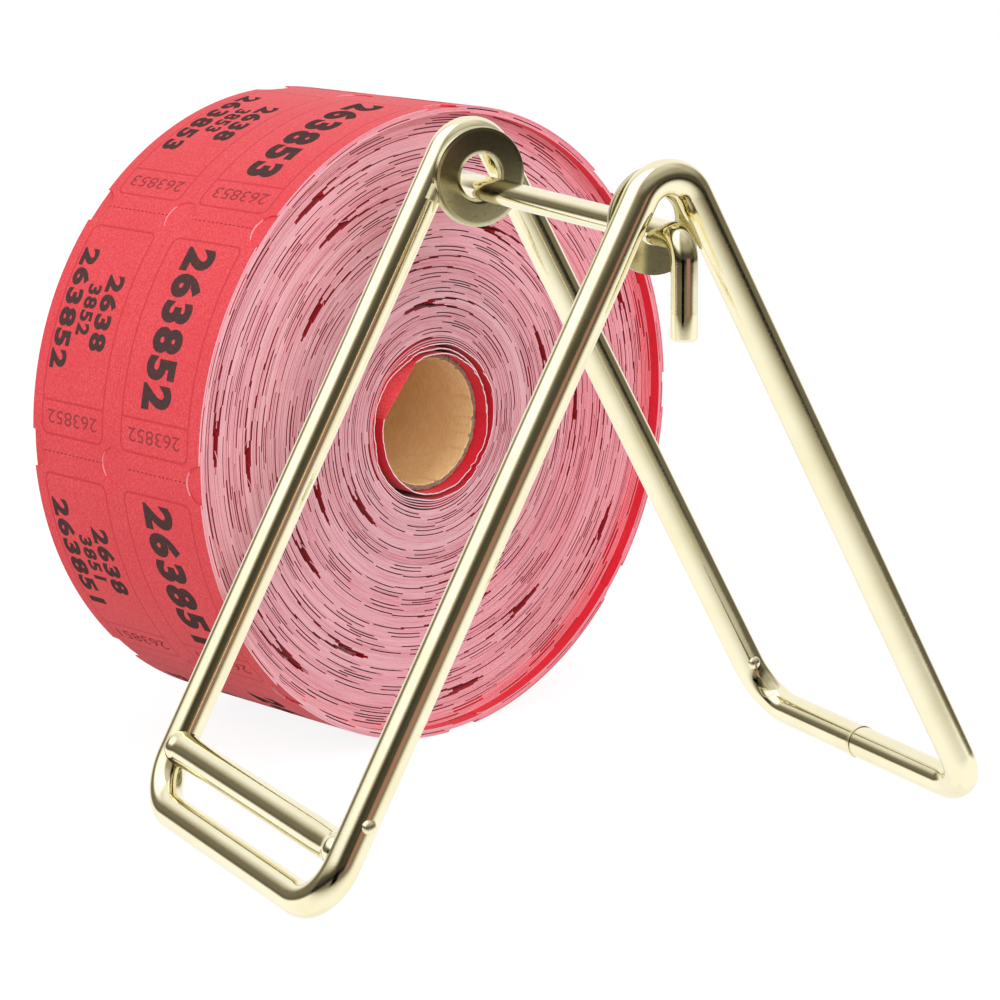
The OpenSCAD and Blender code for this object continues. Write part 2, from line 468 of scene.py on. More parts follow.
@dataclass(frozen=True)
class RollPlace:
    """Where the roll stands: the middle of its proud front rim, and its turn."""

    centre: Vector
    yaw: float

    @property
    def axis(self) -> Points:
        """The roll's axis, towards the viewer."""
        return np.array([math.sin(self.yaw), -math.cos(self.yaw), 0.0])

    def to_world(self, points: Points) -> Points:
        """Takes points from the roll's own axes to the object's axes.

        Args:
            points: n by 3, with x to the right, y up and z towards the viewer.

        Returns:
            The same points in the object's axes.
        """
        c, s = math.cos(self.yaw), math.sin(self.yaw)
        x, y, z = points[:, 0], points[:, 1], points[:, 2]
        turned = np.column_stack([x * c + z * s, x * s - z * c, y])
        return turned + np.array(self.centre)

    def mapping(self, g: Graph):
        """Returns Object coordinates turned into the roll's own axes."""
        turn = (math.pi / 2, 0.0, self.yaw)
        made = g.node("ShaderNodeMapping", {
            "Vector": g.place(), "Location": self.centre, "Rotation": turn},
            vector_type="TEXTURE")
        return made.outputs[0]


@dataclass(frozen=True)
class PaperEdgeFinish:
    """The cut edges of hundreds of turns of dyed paper, with painted red bounce light
    towards the right and dark streaks that are partly painted shade between the turns.
    """

    name: str
    place: RollPlace
    # left and right: the two ends of a sideways blend; the redder right is painted red
    # bounce light.
    left: Colour = (0.82, 0.40, 0.45)
    right: Colour = (0.88, 0.285, 0.335)
    inner: Colour = (0.72, 0.39, 0.44)
    # deep: the dark red of the streaks, partly dye and partly painted shade in the gaps
    # between turns.
    deep: Colour = (0.66, 0.17, 0.23)
    fibres: Colour = (0.92, 0.62, 0.67)
    streak: float = 0.0012

    def build(self) -> bpy.types.Material:
        """Returns the paper edges' material."""
        g = Graph(self.name)
        local = self.place.mapping(g)
        parts = g.node("ShaderNodeSeparateXYZ", {"Vector": local})
        x, y = parts.outputs[0], parts.outputs[1]
        flat = g.node("ShaderNodeCombineXYZ", {"X": x, "Y": y})
        radius = g.node("ShaderNodeVectorMath", {0: flat.outputs[0]},
                        operation="LENGTH").outputs["Value"]
        per_metre = g.math("DIVIDE", self.streak, radius)
        ring = g.node("ShaderNodeCombineXYZ", {
            "X": radius, "Y": g.math("MULTIPLY", x, per_metre),
            "Z": g.math("MULTIPLY", y, per_metre)}).outputs[0]
        fine = g.ramp(g.noise(ring, 3400.0, 3.0, 0.7), 0.38, 0.66)
        broad = g.ramp(g.noise(ring, 330.0, 2.0), 0.35, 0.65)
        fibre = g.ramp(g.noise(local, 2300.0, 3.0, 0.7), 0.3, 0.7, (0.0, 0.5))
        # Painted light: the edges turn from greyer pink on the left to redder on the
        # right, for red light bounced inside the roll.
        colour = g.mix(g.ramp(x, -0.045, 0.055), self.left, self.right)
        colour = g.mix(g.ramp(radius, 0.022, 0.046, (0.9, 0.0)), colour, self.inner)
        # Dark red streaks along the turns: partly the dye, partly painted shade in the
        # fine gaps between the turns' edges.
        colour = g.mix(g.math("MULTIPLY", fine, 0.60), colour, self.deep)
        colour = g.mix(g.math("MULTIPLY", broad, 0.28), colour, self.fibres)
        colour = g.mix(g.math("MULTIPLY", fibre, 0.4), colour, self.fibres)
        normal = g.bump(g.math("ADD", fine, fibre), 0.00004, 0.5)
        return g.finish(Base_Color=colour, Roughness=0.92, Specular_IOR_Level=0.0,
                        Normal=normal)


@dataclass(frozen=True)
class TicketFaceFinish:
    """Dyed ticket paper, with the printed outlines and the perforations if asked for."""

    name: str
    colour: Colour = (0.79, 0.058, 0.068)
    lighter: Colour = (0.86, 0.130, 0.145)
    fuzz: Colour = (1.0, 0.72, 0.74)
    cloud: Colour = (0.74, 0.045, 0.060)
    line: Colour = (0.58, 0.030, 0.045)
    cut: Colour = (0.26, 0.008, 0.016)
    printed: bool = False

    def build(self) -> bpy.types.Material:
        """Returns the ticket paper's material."""
        g = Graph(self.name)
        at = g.place()
        grain = g.noise(at, 2100.0, 4.0, 0.8)
        colour = g.mix(g.ramp(grain, 0.38, 0.68), self.colour, self.lighter)
        cloudy = g.ramp(g.noise(at, 60.0, 2.0), 0.3, 0.7, (0.0, 0.22))
        colour = g.mix(cloudy, colour, self.cloud)
        normal = g.bump(grain, 0.00005, 0.5)
        if self.printed:
            lines, cuts = TicketLayout().masks(g)
            colour = g.mix(g.math("MULTIPLY", lines, 0.62), colour, self.line)
            colour = g.mix(g.math("MULTIPLY", cuts, 0.85), colour, self.cut)
            normal = g.bump(g.math("ADD", lines, cuts), -0.00004, 0.6, normal)
        return g.finish(Base_Color=colour, Roughness=0.72, Specular_IOR_Level=0.0,
                        Sheen_Weight=0.30, Sheen_Roughness=0.45,
                        Sheen_Tint=(*self.fuzz, 1.0), Normal=normal)


@dataclass(frozen=True)
class TicketLayout:
    """Where everything sits on one ticket. Lengths in millimetres.

    Along runs from one row of round cuts to the next, and across from the front edge of
    the strip to its back edge.
    """

    length: float = 50.8
    width: float = 50.8
    panel_from: float = 4.5
    panel_to: float = 47.3
    near: tuple[float, float] = (3.4, 23.2)
    far: tuple[float, float] = (29.0, 47.8)
    corner: float = 1.7
    box_from: float = 40.6
    line_w: float = 0.46
    soft: float = 0.10
    dash: float = 1.25
    middle_share: float = 0.35

    def masks(self, g: Graph) -> tuple:
        """Builds the masks of the printed lines and of the perforations.

        Args:
            g: the material's graph. Its mesh has along and across as UV, in millimetres.

        Returns:
            The output of each mask, 1 on a line and 0 off it.
        """
        uv = g.node("ShaderNodeUVMap", uv_map="ticket").outputs[0]
        parts = g.node("ShaderNodeSeparateXYZ", {"Vector": uv})
        along = g.math("FLOORED_MODULO", parts.outputs[0], self.length)
        across = parts.outputs[1]
        masks = []
        for low, high in (self.near, self.far):
            masks.append(self.outline(g, along, across, low, high))
            inside = g.math("MULTIPLY", self.step(g, across, low), self.step(
                g, g.math("MULTIPLY", across, -1.0), -high))
            bar = self.band(g, along, self.box_from, self.line_w)
            masks.append(g.math("MULTIPLY", bar, inside))
        lines = masks[0]
        for mask in masks[1:]:
            lines = g.math("MAXIMUM", lines, mask)
        edge = g.math("PINGPONG", parts.outputs[0], self.length / 2)
        crossing = g.math("MULTIPLY", g.ramp(edge, 0.06, 0.15, (1.0, 0.0)),
                          self.dashes(g, across))
        middle = g.math("MULTIPLY", self.band(g, across, self.width / 2, 0.16),
                        self.dashes(g, parts.outputs[0]))
        faint = g.math("MULTIPLY", middle, self.middle_share)
        return lines, g.math("MAXIMUM", crossing, faint)

    def step(self, g: Graph, value: object, edge: float):
        """Returns 1 where value is past edge, with a soft border."""
        return g.ramp(value, edge - self.soft, edge + self.soft)

    def band(self, g: Graph, value: object, middle: float, width: float):
        """Returns 1 within half of width of middle, with soft borders."""
        away = g.math("ABSOLUTE", g.math("SUBTRACT", value, middle))
        return g.ramp(away, width / 2 - self.soft, width / 2 + self.soft, (1.0, 0.0))

    def dashes(self, g: Graph, value: object):
        """Returns 1 on the dashes of a perforation that runs along value."""
        wave = g.math("PINGPONG", value, self.dash / 2)
        return g.ramp(wave, self.dash * 0.18, self.dash * 0.26)

    def outline(self, g: Graph, along: object, across: object, low: float, high: float):
        """Returns 1 on the outline of a rounded panel between low and high across."""
        offsets = []
        sides = ((along, self.panel_from, self.panel_to), (across, low, high))
        for value, a, b in sides:
            away = g.math("ABSOLUTE", g.math("SUBTRACT", value, (a + b) / 2))
            offsets.append(g.math("SUBTRACT", away, (b - a) / 2 - self.corner))
        outer = [g.math("MAXIMUM", o, 0.0) for o in offsets]
        length = g.math("SQRT", g.math("ADD", g.math("MULTIPLY", outer[0], outer[0]),
                                       g.math("MULTIPLY", outer[1], outer[1])))
        inner = g.math("MINIMUM", g.math("MAXIMUM", offsets[0], offsets[1]), 0.0)
        return self.band(g, g.math("ADD", length, inner), self.corner, self.line_w)


@dataclass(frozen=True)
class InkFinish:
    """Printing ink that lets a little of the paper through."""

    name: str
    ink: Colour = (0.075, 0.050, 0.048)
    paper: Colour = (0.45, 0.050, 0.055)
    cover: float = 0.35

    def build(self) -> bpy.types.Material:
        """Returns the ink's material."""
        g = Graph(self.name)
        at = g.place()
        thin = g.ramp(g.noise(at, 1900.0, 3.0, 0.7), 0.45, 0.78)
        colour = g.mix(g.math("MULTIPLY", thin, self.cover), self.ink, self.paper)
        return g.finish(Base_Color=colour, Roughness=0.68, Specular_IOR_Level=0.0,
                        Normal=g.bump(thin, 0.00003, 0.4))


@dataclass(frozen=True)
class KraftFinish:
    """Wound kraft board with faint streaks round the bore."""

    name: str
    place: RollPlace
    light: Colour = (0.90, 0.62, 0.32)
    dark: Colour = (0.71, 0.44, 0.21)
    cloud: Colour = (0.76, 0.48, 0.23)

    def build(self) -> bpy.types.Material:
        """Returns the core's material."""
        g = Graph(self.name)
        local = self.place.mapping(g)
        streaks = g.node("ShaderNodeMapping", {
            "Vector": local, "Scale": (1.0, 1.0, 4.0)}).outputs[0]
        fibre = g.noise(streaks, 700.0, 5.0, 0.7)
        colour = g.mix(g.ramp(fibre, 0.35, 0.75), self.light, self.dark)
        cloudy = g.ramp(g.noise(local, 120.0, 2.0), 0.3, 0.7, (0.0, 0.5))
        colour = g.mix(cloudy, colour, self.cloud)
        return g.finish(Base_Color=colour, Roughness=0.9, Specular_IOR_Level=0.0,
                        Normal=g.bump(fibre, 0.00010, 0.5))


@dataclass(frozen=True)
class RawEdgeFinish:
    """A torn or sawn fibrous edge."""

    name: str
    light: Colour
    dark: Colour

    def build(self) -> bpy.types.Material:
        """Returns the edge's material."""
        g = Graph(self.name)
        at = g.place()
        fuzz = g.noise(at, 1500.0, 5.0, 0.8)
        colour = g.mix(g.ramp(fuzz, 0.35, 0.7), self.light, self.dark)
        return g.finish(Base_Color=colour, Roughness=0.95, Specular_IOR_Level=0.0,
                        Normal=g.bump(fuzz, 0.0002, 0.8))


# The stand
@dataclass
class WireStand:
    """The bent wire loop, its tear bar and the washers. Lengths in millimetres."""

    wire_r: float = 3.175
    base_half: float = 68.0
    side_half: float = 36.25
    lean: float = 28.0
    apex_r: float = 6.0
    corner_r: float = 9.5
    bar_up: float = 11.0
    washer_od: float = 19.05
    washer_hole: float = 8.7
    washer_t: float = 1.65
    washer_z: float = 116.4
    dish: float = 0.28

    def __post_init__(self) -> None:
        """Finds the stand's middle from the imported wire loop."""
        low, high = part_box("frame_wire")
        self.middle = Vector((0.0, (low.y + high.y) / 2, 0.0))
        angle = math.radians(self.lean)
        self.up_leg = Vector((math.sin(angle), 0.0, math.cos(angle)))
        self.bright = PlatedFinish("wire_plating").build()
        self.satin = PlatedFinish("weld_plating", shine=(0.22, 0.38),
                                  grain=0.00002).build()
        self.bead = PlatedFinish("bead_plating", light=(0.74, 0.67, 0.43),
                                 deep=(0.60, 0.53, 0.31), shine=(0.40, 0.55),
                                 grain=0.00004).build()
        self.washer_metal = WasherFinish().build()

    def build(self) -> None:
        """Makes every piece of the stand."""
        self.wire_loop()
        self.tear_bar()
        self.washers()
        dress_node("butt_weld", self.satin)
        dress_node("plating_marks", self.satin)
        dress_node("washer_welds", self.bead)

    def wire_loop(self) -> None:
        """Draws a quarter of the loop and mirrors it to the rest."""
        angle = math.radians(self.lean)
        rise = self.base_half / math.sin(angle)
        tangent = self.apex_r / math.tan(angle)
        start = Vector((-self.base_half, 0.0, self.wire_r)) * MM
        wire = SweptWire("wire_loop", self.wire_r * MM, start, Vector((0, 1, 0)))
        wire.straight((self.side_half - self.corner_r) * MM, 2)
        wire.bend(self.corner_r * MM, self.up_leg, math.pi / 2, 20)
        wire.straight((rise - tangent - self.corner_r) * MM, 10)
        inward = Vector((math.cos(angle), 0.0, -math.sin(angle)))
        wire.bend(self.apex_r * MM, inward, math.pi / 2 - angle, 16)
        obj = wire.done()
        add_modifier(obj, "MIRROR", use_axis=(True, False, False), merge_threshold=1e-5)
        add_modifier(obj, "MIRROR", use_axis=(False, True, False), merge_threshold=1e-5)
        clean_mesh(obj)
        bpy.ops.object.shade_smooth()
        settle(obj, self.middle)
        dress(obj, Body.STAND, [self.bright], ["frame_wire"])

    def tear_bar(self) -> None:
        """Draws half of the tear bar with its weld metal and mirrors it."""
        bar = Vector((-self.base_half, 0.0, self.wire_r)) + self.up_leg * self.bar_up
        weld = ((4.0, 1.0), (0.9, 1.03), (0.7, 1.07), (0.8, 1.02), (0.9, 0.93),
                (0.9, 0.88))
        reach = self.side_half - 0.2
        wire = SweptWire("tear_bar_wire", self.wire_r * MM, bar * MM, Vector((0, 1, 0)))
        wire.straight((reach - sum(length for length, _ in weld)) * MM, 3)
        for length, swell in weld:
            wire.straight(length * MM).widen(swell)
        obj = wire.close_end().done()
        add_modifier(obj, "MIRROR", use_axis=(False, True, False), merge_threshold=1e-5)
        clean_mesh(obj)
        smooth(obj, 50.0)
        settle(obj, self.middle)
        dress(obj, Body.STAND, [self.bright], ["tear_bar", "tear_bar_welds"])

    def washers(self) -> None:
        """Turns the two washers, with their edges rounded by the punch."""
        inner = self.side_half - self.wire_r - self.washer_t
        half_hole, half_out, soft = self.washer_hole / 2, self.washer_od / 2, 0.18
        steps = np.linspace(half_hole + soft, half_out - 2 * soft, 8)
        dished = [(r, self.dish * (r / half_out) ** 2) for r in steps]
        profile = np.array([
            (half_hole, soft), *dished, (half_out - soft, self.dish + 0.05),
            (half_out, self.dish + 2 * soft), (half_out, self.washer_t),
            (half_hole, self.washer_t), (half_hole, soft)])

        for side, name in ((-1, "near_washer"), (1, "far_washer")):
            def place(share: Points, row: Points, side: int = side) -> Points:
                angle = share * FULL_TURN
                shape = profile[row]
                x, z = shape[:, 0] * np.cos(angle), shape[:, 0] * np.sin(angle)
                y = side * (inner + shape[:, 1])
                return np.column_stack([x, y, z + self.washer_z]) * MM
            obj = laid_grid(name + "_disc", 96, len(profile), place)
            clean_mesh(obj)
            smooth(obj, 35.0)
            settle(obj, self.middle)
            dress(obj, Body.STAND, [self.washer_metal], [name])


@dataclass
class AxleRod:
    """The loose hooked rod. Lengths in millimetres."""

    rod_r: float = 2.38
    axle_z: float = 114.48
    hook_y: float = -42.05
    bend_r: float = 4.0
    hook_drop: float = 17.7
    far_y: float = 39.45
    edge: float = 0.5

    def build(self, stand: WireStand) -> None:
        """Draws the rod from its far end round into the hook.

        Args:
            stand: the stand that the rod lies in.
        """
        start = Vector((0.0, self.far_y, self.axle_z)) * MM
        tip, shoulder = self.rod_r - self.edge, self.rod_r - 0.3 * self.edge
        short, long = 0.35 * self.edge * MM, 0.65 * self.edge * MM
        wire = SweptWire("axle_wire", tip * MM, start, Vector((0, -1, 0)))
        wire.close_end()
        wire.straight(short).widen(shoulder / tip)
        wire.straight(long).widen(self.rod_r / shoulder)
        run = self.far_y - self.edge - (self.hook_y + self.bend_r)
        wire.straight(run * MM, 6)
        wire.bend(self.bend_r * MM, Vector((0, 0, -1)), math.pi / 2, 16)
        wire.straight((self.hook_drop - self.bend_r - self.edge) * MM, 3)
        wire.straight(long).widen(shoulder / self.rod_r)
        wire.straight(short).widen(tip / shoulder)
        obj = wire.close_end().done()
        clean_mesh(obj)
        smooth(obj, 60.0)
        settle(obj, stand.middle)
        dress(obj, Body.AXLE, [stand.bright], ["axle_rod"])


# The roll
@dataclass
class TicketRoll:
    """The wound roll of tickets. Lengths in millimetres."""

    roll_r: float = 63.46
    strip_w: float = 50.8
    ticket: float = 50.8
    paper_t: float = 0.236
    face: float = -3.5
    pack_in: float = 17.6
    pack_out: float = 60.0
    core_in: float = 12.7
    core_out: float = 13.9
    core_face: float = -5.7
    cut_r: float = 3.75
    phase: float = 136.0
    gap: float = 4.0
    strip_end: float = 319.35
    print_r: float = 63.5
    jitter: float = 0.045
    drift: float = 0.16
    loose_count: float = 5.25
    flap_middle: float = 139.5
    flap_half: float = 29.0
    flap_chord: float = 12.2
    columns: int = 240
    seed: int = 7

    def __post_init__(self) -> None:
        """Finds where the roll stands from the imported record, and mixes the finishes."""
        mounts = {m["name"]: m for m in frame["record"]["mounts"]}
        bore = mounts["roll_core_bore"]
        axis = Vector(bore["axis"])
        depth = (self.strip_w / 2 - self.core_face) * MM
        centre = Vector(bore["pos_m"]) - axis * depth
        self.place = RollPlace(centre, math.atan2(-axis.x, axis.y))
        self.edges = PaperEdgeFinish("paper_edges", self.place).build()
        self.printed = TicketFaceFinish("ticket_print_side", printed=True).build()
        self.bare = TicketFaceFinish("ticket_bare_side").build()
        # Painted bounce light: a more deeply red copy of the ticket paper for the inner
        # walls of the turns, for red light bounced between them.
        self.plain = TicketFaceFinish("ticket_paper_bounce_red", colour=(0.80, 0.014, 0.034),
                                      lighter=(0.84, 0.034, 0.058)).build()
        # Painted shade: a darker copy of the ticket paper for the walls between the
        # stepped turns, for the shade in those narrow gaps.
        self.gap_shade = TicketFaceFinish("ticket_gap_shade", colour=(0.42, 0.008, 0.018),
                                     lighter=(0.50, 0.014, 0.028)).build()
        self.draws = np.random.default_rng(self.seed)

    def build(self) -> None:
        """Makes every piece of the roll.

        The photograph's plating doesn't mirror the roll, so the roll is hidden from
        mirroring.
        """
        made = [self.core(), self.loose_turns(), *self.pack(), self.outer_turns(),
                self.strip(), *self.numbers()]
        for obj in made:
            obj.visible_glossy = False

    def cut_depth(self, radii: Points, angle: Points, turn: Points) -> Points:
        """Gives how deep the round cuts bite into the edge of each turn.

        Args:
            radii: the middle radius of every turn, from the core outwards.
            angle: the angle of each vertex, in radians.
            turn: the number of each vertex's turn.

        Returns:
            The depth of the cut at each vertex.
        """
        starts = np.concatenate([[0.0], np.cumsum(FULL_TURN * radii)[:-1]])
        last = starts[-1] + radii[-1] * math.radians(self.phase)
        travel = starts[turn] + radii[turn] * angle - last
        away = np.abs((travel + self.ticket / 2) % self.ticket - self.ticket / 2)
        return np.sqrt(np.maximum(self.cut_r ** 2 - away ** 2, 0.0))

    def on_roll(self, radius: Points, angle: Points, depth: Points) -> Points:
        """Takes points round the roll, in millimetres, to the object's axes.

        Args:
            radius: distance from the roll's axis.
            angle: angle round it, in radians.
            depth: place along it, with the proud rim at 0 and the back below it.

        Returns:
            The points in metres.
        """
        local = np.column_stack([radius * np.cos(angle), radius * np.sin(angle), depth])
        return self.place.to_world(local * MM)

    def turn_stack(self, name: str, borders: Points, columns: int, turn: Points,
                   outside: Points, depth: Callable[[Points, Points], Points],
                   ) -> bpy.types.Object:
        """Makes many turns as one solid with stepped edges.

        Args:
            name: the piece's name.
            borders: the radii between the turns, from the inside outwards.
            columns: faces round one turn.
            turn: the turn that each row of vertices is on.
            outside: 1 where the row is on the outside of its turn, and 0 on its inside.
            depth: gives the place along the axis for row numbers and depths of cut.

        Returns:
            The closed stack, with its edges as material 0 and its walls as material 1.
        """
        middles = (borders[:-1] + borders[1:]) / 2

        def place(share: Points, row: Points) -> Points:
            angle = share * FULL_TURN
            bite = self.cut_depth(middles, angle, turn[row])
            return self.on_roll(borders[turn[row] + outside[row]], angle,
                                depth(row, bite))
        obj = laid_grid(name, columns, len(turn), place)
        clean_mesh(obj, 1e-6)
        self.paint_walls(obj)
        return obj

    def paint_walls(self, obj: bpy.types.Object) -> None:
        """Gives material 1 to the faces that don't look along the roll's axis."""
        facing = np.abs(face_vectors(obj, "normal") @ self.place.axis)
        write_indices(obj, facing < 0.75)

    def paint_outside(self, obj: bpy.types.Object) -> None:
        """Gives material 2 to the walls that look away from the roll's axis."""
        away = face_vectors(obj, "center") - np.array(self.place.centre)
        radial = away - np.outer(away @ self.place.axis, self.place.axis)
        outward = (face_vectors(obj, "normal") * radial).sum(1) > 0
        indices = read_indices(obj)
        indices[(indices == 1) & outward] = 2
        write_indices(obj, indices)

    def pack(self) -> list[bpy.types.Object]:
        """Makes the tight turns, front half fine and back half coarser."""
        return [self.half_pack("pack_front", self.paper_t, self.columns, False),
                self.half_pack("pack_back", 2 * self.paper_t, 180, True)]

    def half_pack(self, name: str, pitch: float, columns: int,
                  behind: bool) -> bpy.types.Object:
        """Makes one half of the pack, with steps on its open side only.

        Args:
            name: the piece's name.
            pitch: thickness of one turn.
            columns: faces round one turn.
            behind: True for the back half.

        Returns:
            The closed half.
        """
        count = round((self.pack_out - self.pack_in) / pitch)
        jitter = self.draws.normal(0.0, self.jitter, count)
        drift = np.convolve(self.draws.normal(0.0, self.drift, count + 16),
                            np.ones(9) / 9, "same")[8:-8]
        wander = jitter + drift
        edge = self.face - self.strip_w - wander if behind else self.face + wander
        middle, sign = self.face - self.strip_w / 2, 1.0 if behind else -1.0
        borders = np.linspace(self.pack_in, self.pack_out, count + 1)
        turn = np.concatenate([np.repeat(np.arange(count), 2), [count - 1, 0, 0]])
        outside = np.concatenate([np.tile([0, 1], count), [1, 0, 0]])
        closing = np.concatenate([np.zeros(2 * count), [1, 1, 0]]).astype(bool)

        def depth(row: Points, bite: Points) -> Points:
            return np.where(closing[row], middle, edge[turn[row]] + sign * bite)
        obj = self.turn_stack(name, borders, columns, turn, outside, depth)
        # The walls between turns take the darker red of painted shade.
        return dress(obj, Body.ROLL, [self.edges, self.gap_shade], ["ticket_pack"])

    def outer_turns(self) -> bpy.types.Object:
        """Makes the proud outer turns: a slope up from the pack, then one high step."""
        count, slope, step = 13, 8, -2.35
        jitter = self.draws.uniform(-0.10, 0.0, count)
        order = np.arange(count)
        rise = np.interp(order, [0, slope - 1], [self.face + 0.15, step])
        proud = np.where(order < slope, rise, -0.05) + jitter
        sunk = -self.strip_w - jitter + np.where(order < slope, 0.0, 0.05)
        borders = np.linspace(self.pack_out, self.roll_r - self.paper_t, count + 1)
        forward = np.repeat(order, 2)
        turn = np.concatenate([forward, forward[::-1], forward[:1]])
        outside = np.concatenate([np.tile([0, 1], count), np.tile([1, 0], count), [0]])
        back = np.concatenate([np.zeros(2 * count), np.ones(2 * count), [0]]).astype(bool)

        def depth(row: Points, bite: Points) -> Points:
            k = turn[row]
            return np.where(back[row], sunk[k] + bite, proud[k] - bite)
        obj = self.turn_stack("proud_turns", borders, 360, turn, outside, depth)
        self.paint_outside(obj)
        # The walls facing the axis take the deeper red of painted bounce light; the
        # outward walls take the plain ticket side.
        return dress(obj, Body.ROLL, [self.edges, self.plain, self.bare],
                     ["outer_turns"])

    def strip(self) -> bpy.types.Object:
        """Makes the last turn of the strip, punches it and lays out its print."""
        turn = math.radians(360.0 - self.gap)
        first = math.radians(self.strip_end - 360.0 + self.gap)
        inner = self.roll_r - self.paper_t
        corners = np.array([
            (self.roll_r, 0.0), (self.roll_r, -self.strip_w), (inner, -self.strip_w),
            (inner, 0.0), (self.roll_r, 0.0)])

        def place(share: Points, row: Points) -> Points:
            return self.on_roll(corners[row, 0], first + share * turn, corners[row, 1])
        obj = laid_grid("ticket_strip_sheet", 356, len(corners), place)
        close_ends(obj)
        punch = self.punches()
        add_modifier(obj, "BOOLEAN", object=punch, operation="DIFFERENCE",
                     solver="EXACT")
        bpy.data.objects.remove(punch)
        self.lay_out_print(obj)
        smooth(obj, 30.0)
        self.paint_walls(obj)
        return dress(obj, Body.ROLL, [self.edges, self.printed],
                     ["ticket_strip"])

    def cut_angles(self) -> list[float]:
        """Returns the angle of every row of round cuts in the last turn, in degrees."""
        step = math.degrees(self.ticket / self.print_r)
        low = self.strip_end - 360.0 + self.gap
        return [self.phase + i * step for i in range(-9, 9)
                if low < self.phase + i * step < self.strip_end + 0.1]

    def punches(self) -> bpy.types.Object:
        """Returns the punch for every round cut, as one mesh."""
        made = []
        for degrees in self.cut_angles():
            for across in (0.0, 0.5, 1.0):
                angle = math.radians(degrees)
                local = np.array([[self.roll_r * math.cos(angle),
                                   self.roll_r * math.sin(angle),
                                   -across * self.strip_w]]) * MM
                farther = local * np.array([2.0, 2.0, 1.0])
                spot = Vector(self.place.to_world(local)[0])
                out = Vector(self.place.to_world(farther)[0]) - spot
                bpy.ops.object.select_all(action="DESELECT")
                bpy.ops.mesh.primitive_cylinder_add(
                    vertices=64, radius=self.cut_r * MM, depth=3 * MM, location=spot,
                    rotation=out.to_track_quat("Z", "Y").to_euler())
                made.append(bpy.context.object)
        for obj in made:
            obj.select_set(True)
        bpy.context.view_layer.objects.active = made[0]
        bpy.ops.object.join()
        bpy.ops.object.transform_apply(location=True, rotation=True, scale=True)
        return bpy.context.object

    def local_points(self, obj: bpy.types.Object) -> Points:
        """Returns the piece's vertices in the roll's own axes, in millimetres."""
        away = (read_points(obj) - np.array(self.place.centre)) / MM
        c, s = math.cos(self.place.yaw), math.sin(self.place.yaw)
        return np.column_stack([away[:, 0] * c + away[:, 1] * s, away[:, 2],
                                away[:, 0] * s - away[:, 1] * c])

    def lay_out_print(self, obj: bpy.types.Object) -> None:
        """Writes along and across in millimetres to the strip's UV map."""
        local = self.local_points(obj)
        low = self.strip_end - 360.0 + self.gap - 1.0
        angle = (np.degrees(np.arctan2(local[:, 1], local[:, 0])) - low) % 360.0 + low
        along = np.radians(angle - self.phase) * self.print_r
        uv = np.column_stack([along, -local[:, 2]])
        layers = obj.data.uv_layers
        layer = layers.get("ticket") or layers.new(name="ticket")
        corners = np.zeros(len(obj.data.loops), np.int32)
        obj.data.loops.foreach_get("vertex_index", corners)
        layer.data.foreach_set("uv", uv[corners].astype(np.float32).ravel())
        for other in [u for u in layers if u.name != "ticket"]:
            layers.remove(other)

    # The numbers
    def numeral(self, words: str, height: float, stretch: float, weight: float,
                at: tuple[float, float], turned: bool) -> bpy.types.Object:
        """Makes one printed number, flat, in ticket millimetres.

        Args:
            words: the digits.
            height: height of the digits.
            stretch: width of the line of digits.
            weight: how much the strokes are thickened.
            at: the middle of the number, along and across the ticket.
            turned: True where the number runs across the strip.

        Returns:
            The flat number, with along as x and minus across as y.
        """
        bpy.ops.object.select_all(action="DESELECT")
        bpy.ops.object.text_add()
        obj = bpy.context.object
        obj.data.body = words
        obj.data.resolution_u = 4
        obj.data.space_character = 1.0 + 3.2 * weight
        obj.data.offset = weight
        obj.data.extrude = 0.01
        bpy.ops.object.convert(target="MESH")
        points = read_points(obj)
        low, high = points.min(0), points.max(0)
        points = (points - (low + high) / 2) / (high - low)
        flat = points * np.array([stretch, height, 0.02])
        if turned:
            flat = flat[:, [1, 0, 2]] * np.array([1.0, -1.0, 1.0])
        write_points(obj, flat + np.array([at[0], -at[1], 0.0]))
        return obj

    def wrap_numbers(self, made: list[bpy.types.Object], name: str) -> bpy.types.Object:
        """Joins flat numbers, slices them finely and bends them round the roll.

        Args:
            made: numbers whose x is in millimetres from the phase's row of cuts.
            name: the piece's name.

        Returns:
            The joined piece in place.
        """
        bpy.ops.object.select_all(action="DESELECT")
        for obj in made:
            obj.select_set(True)
        bpy.context.view_layer.objects.active = made[0]
        bpy.ops.object.join()
        obj = bpy.context.object
        obj.name = obj.data.name = name
        points = read_points(obj)
        bpy.ops.object.mode_set(mode="EDIT")
        for x in np.arange(math.floor(points[:, 0].min()), points[:, 0].max(), 1.5):
            bpy.ops.mesh.select_all(action="SELECT")
            bpy.ops.mesh.bisect(plane_co=(x, 0, 0), plane_no=(1, 0, 0))
        bpy.ops.object.mode_set(mode="OBJECT")
        points = read_points(obj)
        angle = math.radians(self.phase) + points[:, 0] / self.print_r
        above_paper = self.roll_r + 0.005 + points[:, 2]
        write_points(obj, self.on_roll(above_paper, angle, points[:, 1]))
        return obj

    def numbers(self) -> list[bpy.types.Object]:
        """Prints plain running numbers on every ticket of the last turn."""
        big, small = [], []
        low = math.radians(self.strip_end - 360.0 + self.gap - self.phase) * self.print_r
        high = math.radians(self.strip_end - self.phase) * self.print_r
        first = math.ceil(low / self.ticket)
        last = math.floor(high / self.ticket + 0.01)
        whole, head, tail = slice(None), slice(0, 4), slice(2, None)
